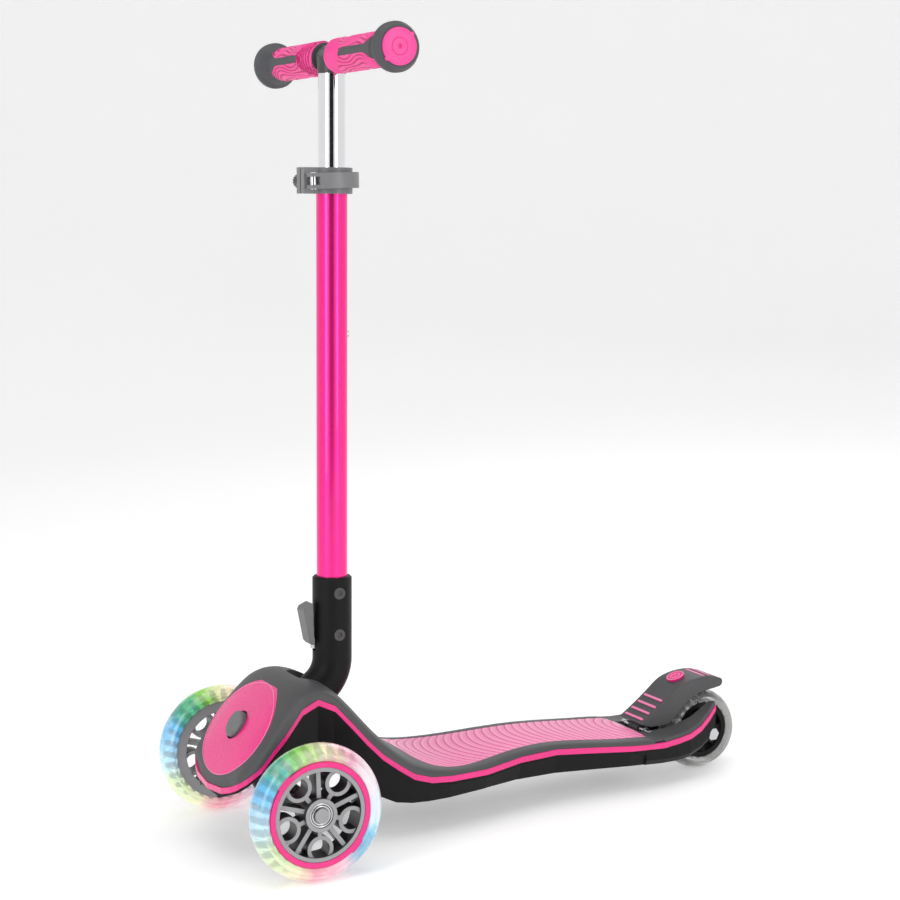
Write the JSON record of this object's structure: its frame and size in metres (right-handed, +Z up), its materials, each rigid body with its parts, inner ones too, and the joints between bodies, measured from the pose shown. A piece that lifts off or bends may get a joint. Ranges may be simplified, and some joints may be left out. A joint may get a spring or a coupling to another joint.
{
  "type": "kick scooter",
  "caption": "Folding lean-to-steer child's kick scooter with a humped hood, a waisted deck, a telescopic T-bar and a rear fender brake.",
  "frame": {"origin": "on the ground, midway between the front of the front wheels and the back of the rear wheel, on the plane of symmetry", "axes": "+X to the rider's left, +Y to the rear, +Z up"},
  "size_m": [0.28, 0.564, 0.721],
  "materials": {
    "black_nylon": "fine grained moulded nylon",
    "grey_shell": "soft-touch satin plastic",
    "pink_plastic": "smooth satin plastic",
    "pink_pad": "ribbed soft plastic",
    "pink_anodised": "brushed and anodised",
    "chrome": "polished",
    "steel": "zinc plated",
    "black_steel": "black satin",
    "dark_grey_plastic": "moulded",
    "grey_button": "satin moulded",
    "rubber": "moulded",
    "dark_rubber": "soft matt grip rubber",
    "pink_rubber": "soft ribbed rubber",
    "light_polyurethane": "clear cast polyurethane, lit from inside",
    "rear_polyurethane": "milky clear cast polyurethane",
    "grey_rim": "moulded nylon",
    "light_board": "lamps and coil under a clear cover"
  },
  "bodies": {
    "deck": {"chassis": "black_nylon", "deck_shell": "grey_shell", "edge_trim": "pink_plastic", "deck_pad": "pink_pad", "nose_panel": "pink_plastic", "fold_bracket": "steel", "fold_pin": "steel", "latch_plate": "steel", "kingpin": "steel", "kingpin_nut": "steel", "steering_bumpers": "rubber", "rear_axle": "steel", "rear_spacers": "steel", "brake_pin": "steel", "brake_spring": "steel", "chassis_screws": "steel", "lock_spring": "steel"},
    "truck": {"axle_beam": "black_nylon", "kingpin_bushes": "rubber", "front_axles": "steel", "axle_caps": "chrome", "magnet_cores": "steel"},
    "left_wheel": {"left_tyre": "light_polyurethane", "left_rim": "grey_rim", "left_wheel_ring": "pink_plastic", "left_light_board": "light_board", "left_bearings": "steel"},
    "right_wheel": {"right_tyre": "light_polyurethane", "right_rim": "grey_rim", "right_wheel_ring": "pink_plastic", "right_light_board": "light_board", "right_bearings": "steel"},
    "rear_wheel": {"rear_tyre": "rear_polyurethane", "rear_rim": "black_nylon", "rear_bearings": "steel"},
    "brake": {"brake_fender": "grey_shell", "brake_ribs": "pink_pad", "brake_badge": "pink_plastic"},
    "column": {"neck": "black_nylon", "neck_bolts": "black_steel", "outer_tube": "pink_anodised", "tube_bush": "black_nylon", "clamp_collar": "dark_grey_plastic", "clamp_bolt": "chrome", "clamp_nut": "black_steel", "fold_button_spring": "steel"},
    "height_button": {"height_button": "steel"},
    "clamp_lever": {"clamp_lever": "dark_grey_plastic"},
    "fold_button": {"fold_button": "grey_button", "fold_latch": "steel"},
    "t_bar": {"inner_tube": "chrome", "slide_bush": "black_nylon", "snap_spring": "steel", "handlebar": "black_steel", "left_grip": "dark_rubber", "right_grip": "dark_rubber", "grip_pads": "pink_rubber", "end_discs": "pink_rubber"},
    "lock_button": {"lock_button": "grey_button", "lock_plunger": "black_nylon"}
  },
  "joints": [
    {"name": "steer", "type": "hinge", "parent": "deck", "child": "truck", "pos_m": [0, -0.222, 0.064], "axis": [0, -0.5, 0.866], "range_deg": [-12, 12], "stiffness_Nm_per_rad": 12, "deforming": ["steering_bumpers"]},
    {"name": "left_wheel_spin", "type": "hinge", "parent": "truck", "child": "left_wheel", "pos_m": [0.116, -0.222, 0.06], "axis": [1, 0, 0], "continuous": true},
    {"name": "right_wheel_spin", "type": "hinge", "parent": "truck", "child": "right_wheel", "pos_m": [-0.116, -0.222, 0.06], "axis": [1, 0, 0], "continuous": true},
    {"name": "rear_wheel_spin", "type": "hinge", "parent": "deck", "child": "rear_wheel", "pos_m": [0, 0.242, 0.04], "axis": [1, 0, 0], "continuous": true},
    {"name": "brake_press", "type": "hinge", "parent": "deck", "child": "brake", "pos_m": [0, 0.172, 0.05], "axis": [1, 0, 0], "range_deg": [-2.4, 0], "stiffness_Nm_per_rad": 3, "springref_deg": 5.73},
    {"name": "fold", "type": "hinge", "parent": "deck", "child": "column", "pos_m": [0, -0.178, 0.124], "axis": [1, 0, 0], "range_deg": [-80, 0]},
    {"name": "bar_height", "type": "slide", "parent": "column", "child": "t_bar", "axis": [0, 0.0304, 0.9995], "range_m": [-0.05, 0.05]},
    {"name": "height_button_press", "type": "slide", "parent": "column", "child": "height_button", "axis": [0, -1, 0], "range_m": [0, 0.0022], "stiffness_N_per_m": 400, "springref_m": -0.001},
    {"name": "clamp_release", "type": "hinge", "parent": "column", "child": "clamp_lever", "pos_m": [0.0155, -0.164, 0.5925], "axis": [0, 0, 1], "range_deg": [-120, 0]},
    {"name": "fold_button_press", "type": "slide", "parent": "column", "child": "fold_button", "axis": [0, 1, 0], "range_m": [0, 0.003], "stiffness_N_per_m": 400, "springref_m": -0.002, "deforming": ["fold_button_spring"]},
    {"name": "steering_lock_press", "type": "slide", "parent": "deck", "child": "lock_button", "axis": [0, 0.848, -0.5299], "range_m": [0, 0.0035], "stiffness_N_per_m": 400, "springref_m": -0.002, "deforming": ["lock_spring"]}
  ]
}
